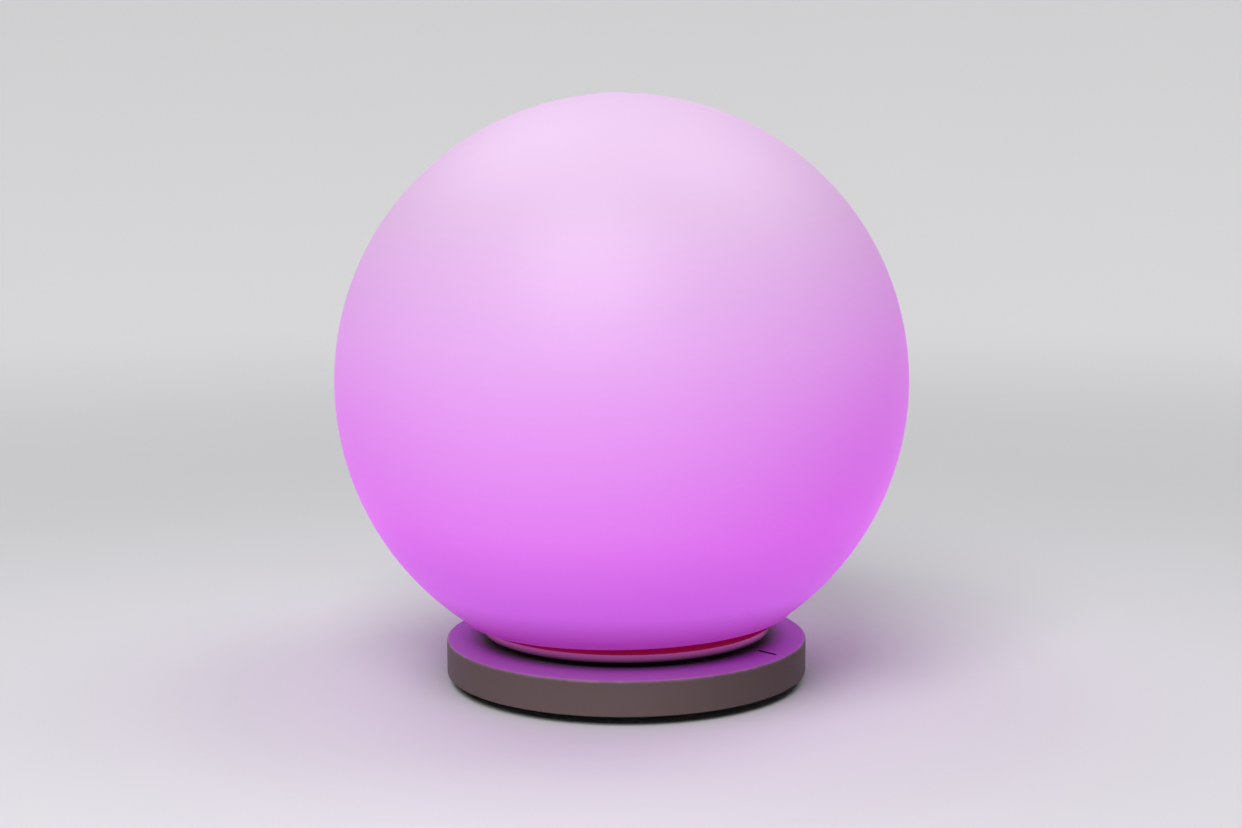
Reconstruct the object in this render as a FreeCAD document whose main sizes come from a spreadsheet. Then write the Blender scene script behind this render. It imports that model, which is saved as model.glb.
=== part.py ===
import FreeCAD, Part
import os
import Sketcher

# Garden globe light: a frosted globe on a low lamp housing, which stands on a round charging disc
# and lifts off it. Millimetres, +Z up, origin on the floor under the middle of the disc, front at -Y.

Vector = FreeCAD.Vector
Placement = FreeCAD.Placement
Rotation = FreeCAD.Rotation
doc = FreeCAD.newDocument("GlobeLight")

# ---------------------------------------------------------------------------------------------
# Driving dimensions
# ---------------------------------------------------------------------------------------------

SIZES = {
    # globe
    "globe_radius": 125.0,
    "globe_wall": 2.6,
    "globe_lean": 1.3,            # degrees towards -X: the globe sits a little crooked on its seal
    "neck_shift": 0.9,            # how far the neck lies over in its clearance
    "neck_clearance": 1.2,
    "neck_wall": 3.0,
    "neck_height": 14.0,
    "neck_floor": 3.0,
    "pip_curve": 56.0,            # low rounded pip that the moulding leaves near the pole
    "pip_height": 0.6,
    "pip_shift": 1.1,
    # bayonet between the housing's drum and the globe's neck
    "lug_reach": 3.6,
    "lug_height": 3.0,
    "lug_angle": 24.0,
    "lug_count": 3,
    "lug_gap": 0.4,
    # seal between lip and globe
    "seal_height": 4.05,
    "seal_flare": 6.6,
    "seal_bulge": 0.5,
    "seal_inset": 0.4,
    # lamp housing
    "lip_reach": 14.5,
    "lip_height": 3.4,
    "lip_round": 1.5,
    "housing_floor": 2.5,
    "drum_wall": 2.4,
    "drum_clearance": 4.5,
    "drum_headroom": 3.0,
    "stud_radius": 4.8,           # screw studs that carry the heat spreader
    "stud_inset": 4.6,
    "cup_wall": 2.0,              # wall of the recess for the pad's centring boss
    # charging pad
    "pad_height": 3.2,
    "pad_wall": 1.8,
    "pad_ledge": 3.0,
    "pad_round": 0.8,
    "spigot_wall": 1.6,
    "spigot_depth": 4.0,
    "spigot_clearance": 0.2,
    "hook_reach": 1.2,
    "hook_height": 1.4,
    "hook_gap": 0.1,
    "hook_angle": 16.0,
    "hook_count": 3,
    "boss_radius": 12.0,
    "boss_height": 4.0,
    "boss_taper": 1.0,
    "boss_clearance": 0.4,
    # coils
    "coil_outer_radius": 25.0,
    "coil_thickness": 1.2,
    "coil_clearance": 0.4,
    "ferrite_thickness": 0.8,
    "board_thickness": 1.6,
    # base disc
    "foot_height": 4.2,
    "foot_radius": 7.0,
    "foot_taper": 0.8,
    "foot_seat": 0.6,
    "foot_clearance": 0.2,
    "foot_inset": 32.0,
    "foot_count": 4,
    "disc_radius": 80.0,
    "disc_height": 15.0,
    "disc_wall": 2.2,
    "disc_top_wall": 2.4,
    "disc_round": 1.0,
    "disc_foot_round": 0.5,
    "cover_thickness": 3.0,
    "cover_clearance": 0.3,
    "cover_step": 0.4,            # how far the bottom cover is sunk into the disc
    "ballast_thickness": 4.0,
    "ballast_inner_radius": 36.0,
    "ballast_clearance": 3.8,
    "ballast_gap": 0.6,
    "post_radius": 4.2,
    "post_inset": 11.8,
    # short line cut in the disc's top
    "line_distance": 70.0,
    "line_heading": -30.7,
    "line_turn": 47.0,            # degrees clockwise from +X, seen from above
    "line_length": 10.0,
    "line_width": 0.9,
    "line_depth": 0.5,
    # supply socket
    "inlet_width": 9.0,
    "inlet_height": 9.0,
    "inlet_depth": 13.0,
    "inlet_gap": 0.4,
    "inlet_recess": 0.6,
    "inlet_nose_radius": 4.0,
    "inlet_hole_clearance": 0.2,
    "inlet_bore_radius": 2.8,
    "inlet_bore_depth": 9.5,
    "inlet_pin_radius": 1.0,
    # screws
    "screw_radius": 1.5,
    "screw_head_radius": 2.8,
    "screw_head_height": 1.7,
    "screw_length": 9.0,
    "socket_radius": 1.2,
    "socket_depth": 1.0,
    "thread_clearance": 0.05,
    "hole_clearance": 0.3,
    "small_screw_radius": 1.2,
    "small_head_radius": 2.2,
    "small_head_height": 1.4,
    "small_screw_length": 5.0,
    # battery
    "cell_radius": 9.2,
    "cell_length": 65.0,
    "cell_cap_radius": 3.2,
    "cell_cap_height": 1.0,
    "cell_gap": 0.8,
    "holder_plate": 1.5,
    "holder_end": 1.5,
    "holder_end_height": 12.0,
    "holder_fit": 0.4,
    "leg_radius": 2.4,
    "leg_inset": 3.2,
    "strap_thickness": 1.5,
    "strap_width": 12.0,
    "pack_offset": 5.3,
    # button and control board
    "button_radius": 5.5,
    "button_inset": 9.6,
    "button_sink": 0.5,
    "button_clearance": 0.3,
    "button_flange_reach": 1.9,
    "button_flange_height": 1.0,
    "button_stem_radius": 2.5,
    "button_travel": 0.8,
    "switch_width": 6.0,
    "switch_height": 3.4,
    "plunger_radius": 1.7,
    "plunger_height": 0.8,
    "bellows_folds": 3,
    "bellows_inner_radius": 5.2,
    "bellows_reach": 1.2,
    "bellows_wall": 0.6,
    "control_width": 28.0,
    "control_depth": 18.0,
    "control_lift": 7.5,
    "control_gap": 1.5,
    "standoff_radius": 2.4,
    "standoff_inset": 3.0,
    # light engine
    "spreader_thickness": 2.0,
    "spreader_margin": 0.2,
    "led_board_margin": 2.2,
    "led_width": 5.0,
    "led_height": 1.5,
    "led_count": 12,
    "led_inset": 10.0,
    "led_screw_inset": 3.0,
    "dome_wall": 1.5,
    "dome_flange": 2.0,
    "dome_inset": 5.0,
    # leads
    "wire_radius": 0.6,
    "coil_lead_spread": 6.5,
    "coil_lead_inset": 4.0,
    "battery_lead_spread": 9.0,
    "led_lead_offset": 7.2,
    "led_lead_spread": 1.4,
    "inlet_lead_spread": 2.2,
    "inlet_lead_inset": 6.0,
    # how far one feature of a piece runs into the next, and how far a cut runs past a face
    "merge": 0.5,
    "overcut": 1.0,
}

sizes = doc.addObject("Spreadsheet::Sheet", "Sizes")
for row, (name, number) in enumerate(SIZES.items(), start=1):
    sizes.set(f"A{row}", name)
    sizes.set(f"B{row}", str(number))
    sizes.setAlias(f"B{row}", name)

# Heights and radii that follow from the driving dimensions, from the floor up and from the axis out.
PLACES = {
    # base disc
    "disc_bottom": "Sizes.foot_height",
    "disc_top": "disc_bottom + Sizes.disc_height",
    "disc_ceiling": "disc_top - Sizes.disc_top_wall",
    "disc_inner_radius": "Sizes.disc_radius - Sizes.disc_wall",
    "cover_bottom": "disc_bottom + Sizes.cover_step",
    "cover_top": "cover_bottom + Sizes.cover_thickness",
    "cover_radius": "disc_inner_radius - Sizes.cover_clearance",
    "foot_circle": "Sizes.disc_radius - Sizes.foot_inset",
    "foot_top": "cover_bottom + Sizes.foot_seat",
    "post_circle": "disc_inner_radius - Sizes.post_inset",
    "ballast_radius": "disc_inner_radius - Sizes.ballast_clearance",
    "ballast_top": "cover_top + Sizes.ballast_thickness",
    "head_seat": "cover_bottom + Sizes.screw_head_height + Sizes.hole_clearance",
    "inlet_middle": "cover_top + Sizes.inlet_height / 2",
    "inlet_face": "disc_inner_radius - Sizes.inlet_gap",
    # charging pad and coils
    "spigot_bore": "Sizes.coil_outer_radius + Sizes.coil_clearance",
    "spigot_radius": "spigot_bore + Sizes.spigot_wall",
    "spigot_bottom": "disc_top - Sizes.spigot_depth",
    "pad_radius": "spigot_radius + Sizes.pad_ledge",
    "pad_top": "disc_top + Sizes.pad_height",
    "pad_ceiling": "pad_top - Sizes.pad_wall",
    "boss_top": "pad_top + Sizes.boss_height",
    "cup_bore": "Sizes.boss_radius + Sizes.boss_clearance",
    "cup_radius": "cup_bore + Sizes.cup_wall",
    "coil_inner_radius": "cup_radius + Sizes.coil_clearance * 2",
    "sender_coil_bottom": "pad_ceiling - Sizes.coil_thickness",
    "sender_ferrite_bottom": "sender_coil_bottom - Sizes.ferrite_thickness",
    "sender_board_bottom": "sender_ferrite_bottom - Sizes.board_thickness",
    "inlet_lead_height": "(spigot_bottom + ballast_top) / 2",
    # lamp housing and what it holds
    "lamp_bottom": "pad_top",
    "floor_top": "lamp_bottom + Sizes.housing_floor",
    "lip_top": "lamp_bottom + Sizes.lip_height",
    "cup_ceiling": "boss_top + Sizes.boss_clearance",
    "cup_top": "cup_ceiling + Sizes.cup_wall",
    "holder_top": "cup_top + Sizes.holder_plate",
    "cell_axis": "holder_top + Sizes.cell_radius",
    "cell_top": "cell_axis + Sizes.cell_radius",
    "strap_top": "cell_top + Sizes.strap_thickness",
    "drum_top": "strap_top + Sizes.drum_headroom",
    "cell_spacing": "Sizes.cell_radius + Sizes.cell_gap / 2",
    "strap_inside": "cell_spacing + Sizes.cell_radius + Sizes.holder_fit",
    "strap_outside": "strap_inside + Sizes.strap_thickness",
    "holder_half": "Sizes.cell_length / 2 + Sizes.holder_fit + Sizes.holder_end",
    "drum_bore": "hypot(holder_half; strap_outside + Sizes.pack_offset) + Sizes.drum_clearance",
    "drum_radius": "drum_bore + Sizes.drum_wall",
    "lip_radius": "drum_radius + Sizes.lip_reach",
    "stud_circle": "drum_bore - Sizes.stud_inset",
    "button_circle": "drum_bore - Sizes.button_inset",
    "control_bottom": "floor_top + Sizes.control_lift",
    "control_top": "control_bottom + Sizes.board_thickness",
    "control_back": "sqrt(drum_bore ^ 2 - (Sizes.control_width / 2) ^ 2) - Sizes.control_gap",
    "control_front": "control_back - Sizes.control_depth",
    "control_middle": "(control_front + control_back) / 2",
    "button_flange_top": "floor_top + Sizes.button_flange_height",
    "plunger_bottom": "control_bottom - Sizes.switch_height - Sizes.plunger_height",
    "spreader_top": "drum_top + Sizes.spreader_thickness",
    "dome_base": "spreader_top + Sizes.dome_flange",
    "dome_radius": "stud_circle - Sizes.dome_inset",
    "led_board_top": "spreader_top + Sizes.board_thickness",
    "led_lead_along": "control_middle - Sizes.led_lead_offset",
    "led_board_radius": "led_lead_along + Sizes.led_board_margin",
    # globe, measured from the plane of its cut edge
    "seat_level": "lip_top + Sizes.seal_height",
    "rim_radius": "lip_radius + Sizes.seal_flare",
    "globe_drop": "sqrt(Sizes.globe_radius ^ 2 - rim_radius ^ 2)",
    "inner_radius": "Sizes.globe_radius - Sizes.globe_wall",
    "lug_radius": "drum_radius + Sizes.lug_reach",
    "neck_bore": "lug_radius + Sizes.neck_clearance",
    "neck_radius": "neck_bore + Sizes.neck_wall",
    "lug_rise": "Sizes.lug_gap + neck_radius * sin(Sizes.globe_lean)",
}

places = doc.addObject("Spreadsheet::Sheet", "Places")
for row, (name, formula) in enumerate(PLACES.items(), start=1):
    places.set(f"A{row}", name)
    places.set(f"B{row}", "=" + formula)
    places.setAlias(f"B{row}", name)
doc.recompute()


# ---------------------------------------------------------------------------------------------
# Ways of making a piece
# ---------------------------------------------------------------------------------------------

def value(expression):
    """The number that an expression on the sheets stands for now."""
    number = sizes.evalExpression(expression)
    return float(getattr(number, "Value", number))


def new_piece(label, separate=False):
    """A body named after the piece; separate allows it to be a group of like solids."""
    body = doc.addObject("PartDesign::Body", label)
    body.Label = label
    body.AllowCompound = separate
    return body


def origin_feature(body, role):
    return next(feature for feature in body.Origin.OriginFeatures if feature.Role == role)


def outline(body, name, corners, plane="XZ_Plane"):
    """A closed sketch through corners, given as pairs of expressions; each corner is dimensioned."""
    sketch = body.newObject("Sketcher::SketchObject", name)
    sketch.AttachmentSupport = [(origin_feature(body, plane), "")]
    sketch.MapMode = "FlatFace"
    points = [Vector(value(across), value(up), 0) for across, up in corners]
    sides = [Part.LineSegment(a, b) for a, b in zip(points, points[1:] + points[:1])]
    sketch.addGeometry(sides, False)
    count = len(corners)
    joins = [Sketcher.Constraint("Coincident", side, 2, (side + 1) % count, 1) for side in range(count)]
    sketch.addConstraint(joins)
    for side, (across, up) in enumerate(corners):
        for direction, expression in (("DistanceX", across), ("DistanceY", up)):
            number = sketch.addConstraint(
                Sketcher.Constraint(direction, -1, 1, side, 1, value(expression)))
            sketch.setExpression(f"Constraints[{number}]", expression)
    return sketch


def turn(body, name, corners, cut=False, angle="360"):
    """Revolve or groove an outline of (radius, height) corners about the Z axis, about its middle."""
    sketch = outline(body, name + "Profile", corners)
    feature = body.newObject("PartDesign::Groove" if cut else "PartDesign::Revolution", name)
    feature.Profile = sketch
    feature.ReferenceAxis = (sketch, ["V_Axis"])
    feature.Midplane = True
    feature.setExpression("Angle", angle)
    body.Tip = feature
    doc.recompute()
    return feature


def place(feature, across="0", along="0", up="0"):
    for letter, expression in zip("xyz", (across, along, up)):
        feature.setExpression(f"Placement.Base.{letter}", expression)


def cylinder(body, name, radius, low, high, across="0", along="0", cut=False):
    """An upright cylinder, added to the body or cut from it."""
    kind = "PartDesign::SubtractiveCylinder" if cut else "PartDesign::AdditiveCylinder"
    feature = body.newObject(kind, name)
    feature.setExpression("Radius", radius)
    feature.setExpression("Height", f"({high}) - ({low})")
    place(feature, across, along, low)
    doc.recompute()
    return feature


def lying_cylinder(body, name, radius, start, length, across, along, up, direction, cut=False):
    """A cylinder along +X or +Y that begins at start on that axis."""
    kind = "PartDesign::SubtractiveCylinder" if cut else "PartDesign::AdditiveCylinder"
    feature = body.newObject(kind, name)
    feature.Placement = Placement(Vector(), Rotation(Vector(0, 0, 1), direction))
    feature.setExpression("Radius", radius)
    feature.setExpression("Height", length)
    if direction.x:
        place(feature, start, along, up)
    else:
        place(feature, across, start, up)
    doc.recompute()
    return feature


def block(body, name, low, high, cut=False):
    """A box between two corners, each three expressions."""
    kind = "PartDesign::SubtractiveBox" if cut else "PartDesign::AdditiveBox"
    feature = body.newObject(kind, name)
    for side, start, end in zip(("Length", "Width", "Height"), low, high):
        feature.setExpression(side, f"({end}) - ({start})")
    place(feature, *low)
    doc.recompute()
    return feature


def repeat_round(body, name, features, count):
    """Repeat features evenly round the Z axis."""
    pattern = body.newObject("PartDesign::PolarPattern", name)
    pattern.Originals = features
    pattern.Axis = (origin_feature(body, "Z_Axis"), [""])
    pattern.Angle = 360
    pattern.setExpression("Occurrences", count)
    body.Tip = pattern
    doc.recompute()
    return pattern


def round_rims(body, name, size, rims):
    """Round the circular edges whose (radius, height) are given as expressions."""
    base = body.Tip
    wanted = [(value(radius), value(height)) for radius, height in rims]
    names = []
    for number, edge in enumerate(base.Shape.Edges, start=1):
        if not isinstance(edge.Curve, Part.Circle):
            continue
        centre = edge.Curve.Center
        for radius, height in wanted:
            if abs(edge.Curve.Radius - radius) + abs(centre.z - height) + abs(centre.x) < 0.001:
                names.append(f"Edge{number}")
    fillet = body.newObject("PartDesign::Fillet", name)
    fillet.Base = (base, names)
    fillet.setExpression("Radius", size)
    body.Tip = fillet
    doc.recompute()
    return fillet


def ring(label, inner, outer, low, high):
    """A flat ring on the Z axis."""
    body = new_piece(label)
    turn(body, "Ring", [(inner, low), (outer, low), (outer, high), (inner, high)])
    return body


def polar(circle, angle):
    """The two expressions of a point on a circle, at an angle in degrees from +X."""
    return f"({circle}) * cos({angle})", f"({circle}) * sin({angle})"


def screws(label, seat, circle, angle, count, small=False, upward=False):
    """A ring of socket-head screws whose heads sit on the seat height."""
    kind = "small_" if small else ""
    head = "small_head" if small else "screw_head"
    body = new_piece(label, separate=True)
    way = "+" if upward else "-"
    back = "-" if upward else "+"
    shank_end = f"{seat} {way} Sizes.{kind}screw_length"
    head_end = f"{seat} {back} Sizes.{head}_height"
    across, along = polar(circle, angle)
    low, high = (seat, shank_end) if upward else (shank_end, seat)
    shank = cylinder(body, "Shank", f"Sizes.{kind}screw_radius", low, high, across, along)
    low, high = (head_end, seat) if upward else (seat, head_end)
    cap = cylinder(body, "Head", f"Sizes.{head}_radius", low, high, across, along)
    socket_floor = f"{head_end} {way} Sizes.socket_depth"
    low, high = (head_end, socket_floor) if upward else (socket_floor, head_end)
    socket = cylinder(body, "Socket", "Sizes.socket_radius", low, high, across, along, cut=True)
    repeat_round(body, "Screws", [shank, cap, socket], count)
    return body


# ---------------------------------------------------------------------------------------------
# Base disc
# ---------------------------------------------------------------------------------------------

SCREW_HOLE = "Sizes.screw_radius + Sizes.thread_clearance"
SMALL_SCREW_HOLE = "Sizes.small_screw_radius + Sizes.thread_clearance"
POST_ANGLE = "45"


def make_base_top_cover():
    """Inverted pan with four screw posts, an opening for the pad and one for the supply socket."""
    body = new_piece("base_top_cover")
    turn(body, "Pan", [
        ("0", "Places.disc_top"),
        ("Sizes.disc_radius", "Places.disc_top"),
        ("Sizes.disc_radius", "Places.disc_bottom"),
        ("Places.disc_inner_radius", "Places.disc_bottom"),
        ("Places.disc_inner_radius", "Places.disc_ceiling"),
        ("0", "Places.disc_ceiling")])
    round_rims(body, "TopRound", "Sizes.disc_round", [("Sizes.disc_radius", "Places.disc_top")])
    round_rims(body, "FootRound", "Sizes.disc_foot_round", [("Sizes.disc_radius", "Places.disc_bottom")])
    across, along = polar("Places.post_circle", POST_ANGLE)
    post = cylinder(body, "Post", "Sizes.post_radius", "Places.cover_top",
                    "Places.disc_ceiling + Sizes.merge", across, along)
    pilot = cylinder(body, "Pilot", SCREW_HOLE, "Places.cover_top",
                     "Places.disc_ceiling - Sizes.overcut", across, along, cut=True)
    repeat_round(body, "Posts", [post, pilot], "4")
    cylinder(body, "PadOpening", "Places.spigot_radius + Sizes.spigot_clearance",
             "Places.disc_ceiling - Sizes.overcut", "Places.disc_top + Sizes.overcut", cut=True)
    lying_cylinder(body, "InletOpening", "Sizes.inlet_nose_radius + Sizes.inlet_hole_clearance",
                   "Places.disc_inner_radius - Sizes.overcut", "Sizes.disc_wall + 2 * Sizes.overcut",
                   "0", "", "Places.inlet_middle", Vector(0, 1, 0), cut=True)
    cut_short_line(body)
    return body


def cut_short_line(body):
    """A narrow straight groove in the disc's top, off the radius."""
    line = body.newObject("PartDesign::SubtractiveBox", "ShortLine")
    line.Placement = Placement(Vector(), Rotation(Vector(0, 0, -1), value("Sizes.line_turn")))
    line.setExpression("Placement.Rotation.Angle", "Sizes.line_turn")
    line.setExpression("Length", "Sizes.line_length")
    line.setExpression("Width", "Sizes.line_width")
    line.setExpression("Height", "Sizes.line_depth + Sizes.overcut")
    middle_across, middle_along = polar("Sizes.line_distance", "Sizes.line_heading")
    half_across, half_along = polar("Sizes.line_length / 2", "-Sizes.line_turn")
    side_across, side_along = polar("Sizes.line_width / 2", "90 - Sizes.line_turn")
    place(line, f"{middle_across} - {half_across} - {side_across}",
          f"{middle_along} - {half_along} - {side_along}", "Places.disc_top - Sizes.line_depth")
    doc.recompute()


def make_base_bottom_cover():
    """Round plate inside the wall, with seats for the feet and counterbored screw holes."""
    body = new_piece("base_bottom_cover")
    cylinder(body, "Plate", "Places.cover_radius", "Places.cover_bottom", "Places.cover_top")
    across, along = polar("Places.foot_circle", POST_ANGLE)
    seat = cylinder(body, "FootSeat", "Sizes.foot_radius + Sizes.foot_clearance",
                    "Places.cover_bottom", "Places.foot_top", across, along, cut=True)
    repeat_round(body, "FootSeats", [seat], "Sizes.foot_count")
    across, along = polar("Places.post_circle", POST_ANGLE)
    hole = cylinder(body, "Hole", "Sizes.screw_radius + Sizes.hole_clearance",
                    "Places.cover_bottom", "Places.cover_top", across, along, cut=True)
    sink = cylinder(body, "Counterbore", "Sizes.screw_head_radius + Sizes.hole_clearance",
                    "Places.cover_bottom", "Places.head_seat", across, along, cut=True)
    repeat_round(body, "Holes", [hole, sink], "4")
    return body


def make_base_ballast():
    """Steel ring with holes for the posts and a notch for the supply socket."""
    top = "Places.ballast_top"
    body = ring("base_ballast", "Sizes.ballast_inner_radius", "Places.ballast_radius", "Places.cover_top", top)
    across, along = polar("Places.post_circle", POST_ANGLE)
    hole = cylinder(body, "PostHole", "Sizes.post_radius + Sizes.ballast_gap", "Places.cover_top", top,
                    across, along, cut=True)
    repeat_round(body, "PostHoles", [hole], "4")
    block(body, "Notch",
          ("-Sizes.inlet_width / 2 - Sizes.ballast_gap",
           "Places.inlet_face - Sizes.inlet_depth - Sizes.ballast_gap", "Places.cover_top"),
          ("Sizes.inlet_width / 2 + Sizes.ballast_gap", "Places.disc_inner_radius", top), cut=True)
    return body


def make_base_feet():
    """Slightly tapered rubber pads pressed into their seats."""
    body = new_piece("base_feet", separate=True)
    foot = body.newObject("PartDesign::AdditiveCone", "Foot")
    foot.setExpression("Radius1", "Sizes.foot_radius - Sizes.foot_taper")
    foot.setExpression("Radius2", "Sizes.foot_radius")
    foot.setExpression("Height", "Places.foot_top")
    across, along = polar("Places.foot_circle", POST_ANGLE)
    place(foot, across, along)
    doc.recompute()
    repeat_round(body, "Feet", [foot], "Sizes.foot_count")
    return body


def make_dc_inlet():
    """Supply socket: a box with a round nose in the disc's rear wall, a bore and its centre pin."""
    body = new_piece("dc_inlet")
    back = "Places.inlet_face - Sizes.inlet_depth"
    nose_end = "Sizes.disc_radius - Sizes.inlet_recess"
    block(body, "Case", ("-Sizes.inlet_width / 2", back, "Places.cover_top"),
          ("Sizes.inlet_width / 2", "Places.inlet_face", "Places.cover_top + Sizes.inlet_height"))
    up, rear = "Places.inlet_middle", Vector(0, 1, 0)
    bore_floor = f"{nose_end} - Sizes.inlet_bore_depth"
    lying_cylinder(body, "Nose", "Sizes.inlet_nose_radius", "Places.inlet_face - Sizes.merge",
                   f"{nose_end} - Places.inlet_face + Sizes.merge", "0", "", up, rear)
    lying_cylinder(body, "Bore", "Sizes.inlet_bore_radius", bore_floor,
                   "Sizes.inlet_bore_depth + Sizes.overcut", "0", "", up, rear, cut=True)
    lying_cylinder(body, "Pin", "Sizes.inlet_pin_radius", f"{bore_floor} - Sizes.merge",
                   "Sizes.inlet_bore_depth", "0", "", up, rear)
    return body


def make_charging_pad():
    """Low round pad with a centring boss on top and a spigot that snaps into the disc below."""
    body = new_piece("charging_pad")
    turn(body, "Pad", [
        ("0", "Places.boss_top"),
        ("Sizes.boss_radius - Sizes.boss_taper", "Places.boss_top"),
        ("Sizes.boss_radius", "Places.pad_top"),
        ("Places.pad_radius", "Places.pad_top"),
        ("Places.pad_radius", "Places.disc_top"),
        ("Places.spigot_radius", "Places.disc_top"),
        ("Places.spigot_radius", "Places.spigot_bottom"),
        ("Places.spigot_bore", "Places.spigot_bottom"),
        ("Places.spigot_bore", "Places.pad_ceiling"),
        ("0", "Places.pad_ceiling")])
    round_rims(body, "PadRound", "Sizes.pad_round", [
        ("Places.pad_radius", "Places.pad_top"),
        ("Sizes.boss_radius - Sizes.boss_taper", "Places.boss_top")])
    hook_top = "Places.disc_ceiling - Sizes.hook_gap"
    hook = turn(body, "Hook", [
        ("Places.spigot_radius - Sizes.merge", hook_top),
        ("Places.spigot_radius + Sizes.hook_reach", hook_top),
        ("Places.spigot_radius", f"{hook_top} - Sizes.hook_height"),
        ("Places.spigot_radius - Sizes.merge", f"{hook_top} - Sizes.hook_height")],
        angle="Sizes.hook_angle")
    repeat_round(body, "Hooks", [hook], "Sizes.hook_count")
    return body


def make_transmitter_parts():
    """Coil, ferrite and board, stacked up against the pad's ceiling inside its spigot."""
    ring("transmitter_coil", "Places.coil_inner_radius", "Sizes.coil_outer_radius",
         "Places.sender_coil_bottom", "Places.pad_ceiling")
    ferrite = new_piece("transmitter_ferrite")
    cylinder(ferrite, "Sheet", "Sizes.coil_outer_radius", "Places.sender_ferrite_bottom",
             "Places.sender_coil_bottom")
    board = new_piece("transmitter_board")
    cylinder(board, "Board", "Sizes.coil_outer_radius + Sizes.coil_clearance / 2",
             "Places.sender_board_bottom", "Places.sender_ferrite_bottom")
    place_chips("transmitter_chips", "Places.sender_board_bottom", "-", SENDER_CHIPS)


# Components on the boards: across, along (middle, from the board's own middle), width, depth, height.
SENDER_CHIPS = [
    (-9.0, 3.0, 7.0, 7.0, 1.0),
    (4.0, 6.0, 6.5, 6.5, 3.0),
    (6.0, -6.0, 5.0, 5.0, 1.0),
    (-6.0, -9.0, 9.0, 4.0, 2.6),
]
CONNECTOR = (-3.6, -6.0, 6.8, 4.5, 5.0)
CONTROL_CHIPS = [
    (-4.5, 1.0, 9.0, 7.0, 2.2),
    (4.5, 3.0, 5.0, 5.0, 1.0),
    (4.0, -4.5, 6.0, 6.0, 3.0),
    CONNECTOR,
]


def place_chips(label, face, side, chips, along="0"):
    """Stand components on one face of a board as separate blocks; side - hangs them below it."""
    body = new_piece(label, separate=True)
    for number, (x, y, width, depth, tall) in enumerate(chips, start=1):
        low, high = (f"{face} - {tall}", face) if side == "-" else (face, f"{face} + {tall}")
        block(body, f"Chip{number}",
              (f"{x - width / 2}", f"{along} + {y - depth / 2}", low),
              (f"{x + width / 2}", f"{along} + {y + depth / 2}", high))
    return body


# ---------------------------------------------------------------------------------------------
# Lamp housing and the parts in it
# ---------------------------------------------------------------------------------------------

STUD_ANGLE = "30"
BUTTON_PLACE = ("0", "Places.button_circle")
STANDOFF_ACROSS = "Sizes.control_width / 2 - Sizes.standoff_inset"
STANDOFF_ALONG = ("Places.control_front + Sizes.standoff_inset", "Places.control_back - Sizes.standoff_inset")


def standoff_spots():
    """The four places where the control board is screwed down."""
    return [(sign + "(" + STANDOFF_ACROSS + ")", along) for sign in ("", "-") for along in STANDOFF_ALONG]


def make_lamp_housing():
    """Round tray with an outward lip, a drum for the electronics and a bayonet on the drum."""
    body = new_piece("lamp_housing")
    turn(body, "Tray", [
        ("0", "Places.cup_ceiling"),
        ("Places.cup_bore - Sizes.boss_taper", "Places.cup_ceiling"),
        ("Places.cup_bore", "Places.lamp_bottom"),
        ("Places.lip_radius", "Places.lamp_bottom"),
        ("Places.lip_radius", "Places.lip_top"),
        ("Places.drum_radius", "Places.lip_top"),
        ("Places.drum_radius", "Places.drum_top"),
        ("Places.drum_bore", "Places.drum_top"),
        ("Places.drum_bore", "Places.floor_top"),
        ("Places.cup_radius", "Places.floor_top"),
        ("Places.cup_radius", "Places.cup_top"),
        ("0", "Places.cup_top")])
    round_rims(body, "LipRound", "Sizes.lip_round", [("Places.lip_radius", "Places.lamp_bottom")])
    lug_bottom = "Places.seat_level + Sizes.neck_floor + Sizes.lug_height + Places.lug_rise"
    lug = turn(body, "Lug", [
        ("Places.drum_radius - Sizes.merge", lug_bottom),
        ("Places.lug_radius", lug_bottom),
        ("Places.lug_radius", f"{lug_bottom} + Sizes.lug_height"),
        ("Places.drum_radius - Sizes.merge", f"{lug_bottom} + Sizes.lug_height")],
        angle="Sizes.lug_angle")
    repeat_round(body, "Lugs", [lug], "Sizes.lug_count")
    across, along = polar("Places.stud_circle", STUD_ANGLE)
    stud = cylinder(body, "Stud", "Sizes.stud_radius", "Places.floor_top - Sizes.merge",
                    "Places.drum_top", across, along)
    pilot = cylinder(body, "StudPilot", SCREW_HOLE, "Places.drum_top - Sizes.screw_length",
                     "Places.drum_top", across, along, cut=True)
    repeat_round(body, "Studs", [stud, pilot], "3")
    for number, (across, along) in enumerate(standoff_spots(), start=1):
        cylinder(body, f"Standoff{number}", "Sizes.standoff_radius", "Places.floor_top - Sizes.merge",
                 "Places.control_bottom", across, along)
        cylinder(body, f"StandoffPilot{number}", SMALL_SCREW_HOLE,
                 "Places.control_bottom - Sizes.small_screw_length", "Places.control_bottom",
                 across, along, cut=True)
    cylinder(body, "ButtonHole", "Sizes.button_radius + Sizes.button_clearance",
             "Places.lamp_bottom - Sizes.overcut", "Places.floor_top + Sizes.overcut",
             *BUTTON_PLACE, cut=True)
    return body


def make_receiver_parts():
    """Coil on the housing's floor round the boss recess, with its ferrite ring on top."""
    coil_top = "Places.floor_top + Sizes.coil_thickness"
    ring("receiver_coil", "Places.coil_inner_radius", "Sizes.coil_outer_radius", "Places.floor_top", coil_top)
    ring("receiver_ferrite", "Places.coil_inner_radius", "Sizes.coil_outer_radius", coil_top,
         f"{coil_top} + Sizes.ferrite_thickness")


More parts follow.
